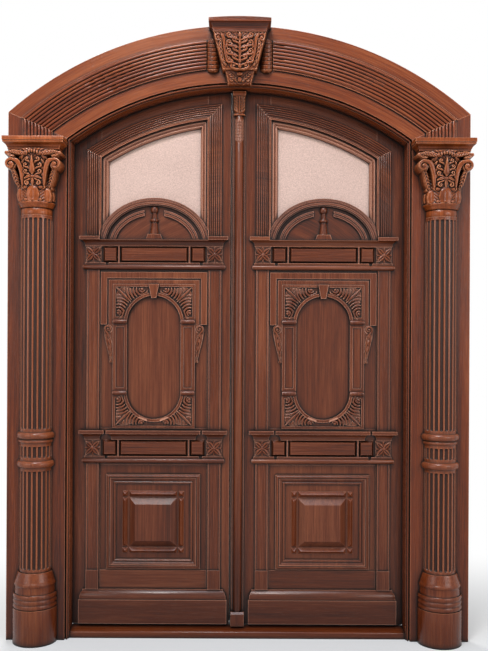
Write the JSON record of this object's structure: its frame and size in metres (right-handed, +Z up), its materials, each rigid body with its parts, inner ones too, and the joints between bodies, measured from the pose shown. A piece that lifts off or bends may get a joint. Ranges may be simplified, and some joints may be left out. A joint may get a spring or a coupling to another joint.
{
  "type": "wooden entrance door",
  "caption": "Carved wooden double-leaf entrance door in a segmental-arched frame with fluted half-columns, keystone, glazed lights and panelled leaves that swing inwards.",
  "frame": {"origin": "underside of the threshold, middle of the doorway, in the plane of the closed leaves' front faces", "axes": "+X to the right seen from the street, +Y into the room, +Z up"},
  "size_m": [2.208, 0.2943, 2.9291],
  "materials": {
    "frame_wood": "stained and satin varnished",
    "leaf_wood": "stained and satin varnished",
    "panel_wood": "stained and satin varnished",
    "carved_wood": "carved, stained and satin varnished",
    "frosted_glass": "frosted",
    "hinge_brass": "aged"
  },
  "bodies": {
    "frame": {"arch_casing": "frame_wood", "arch_reeding": "frame_wood", "capital_left": "carved_wood", "capital_right": "carved_wood", "casing_left": "frame_wood", "casing_right": "frame_wood", "column_base_left": "frame_wood", "column_base_right": "frame_wood", "column_shaft_left": "frame_wood", "column_shaft_right": "frame_wood", "frame_head": "frame_wood", "hinge_frame_plates": "hinge_brass", "hinge_pins": "hinge_brass", "jamb_left": "frame_wood", "jamb_right": "frame_wood", "keystone": "carved_wood", "keystone_cap": "frame_wood", "keystone_leaves": "carved_wood", "threshold": "frame_wood"},
    "leaf_left": {"hinge_stile_left": "leaf_wood", "meeting_stile_left": "leaf_wood", "top_rail_left": "leaf_wood", "cross_rails_left": "leaf_wood", "glass_pane_left": "frosted_glass", "glazing_surround_left": "leaf_wood", "lunette_left": "panel_wood", "baluster_left": "leaf_wood", "entablature_mouldings_left": "leaf_wood", "frieze_blocks_left": "carved_wood", "pilaster_strips_left": "leaf_wood", "middle_panel_left": "panel_wood", "panel_arcade_left": "carved_wood", "panel_surround_left": "leaf_wood", "lower_panel_left": "panel_wood", "lower_surround_left": "leaf_wood", "panel_rods_left": "panel_wood", "skirting_left": "leaf_wood", "hinge_leaf_plates_left": "hinge_brass"},
    "leaf_right": {"hinge_stile_right": "leaf_wood", "meeting_stile_right": "leaf_wood", "top_rail_right": "leaf_wood", "cross_rails_right": "leaf_wood", "glass_pane_right": "frosted_glass", "glazing_surround_right": "leaf_wood", "lunette_right": "panel_wood", "baluster_right": "leaf_wood", "entablature_mouldings_right": "leaf_wood", "frieze_blocks_right": "carved_wood", "pilaster_strips_right": "leaf_wood", "middle_panel_right": "panel_wood", "panel_arcade_right": "carved_wood", "panel_surround_right": "leaf_wood", "lower_panel_right": "panel_wood", "lower_surround_right": "leaf_wood", "panel_rods_right": "panel_wood", "skirting_right": "leaf_wood", "hinge_leaf_plates_right": "hinge_brass", "astragal_base": "leaf_wood", "astragal_shaft": "leaf_wood", "astragal_head": "carved_wood"}
  },
  "joints": [
    {"name": "leaf_left_swing", "type": "hinge", "parent": "frame", "child": "leaf_left", "pos_m": [-0.818, 0.058, 0], "axis": [0, 0, 1], "range_deg": [0, 100]},
    {"name": "leaf_right_swing", "type": "hinge", "parent": "frame", "child": "leaf_right", "pos_m": [0.818, 0.058, 0], "axis": [0, 0, -1], "range_deg": [0, 100]}
  ]
}
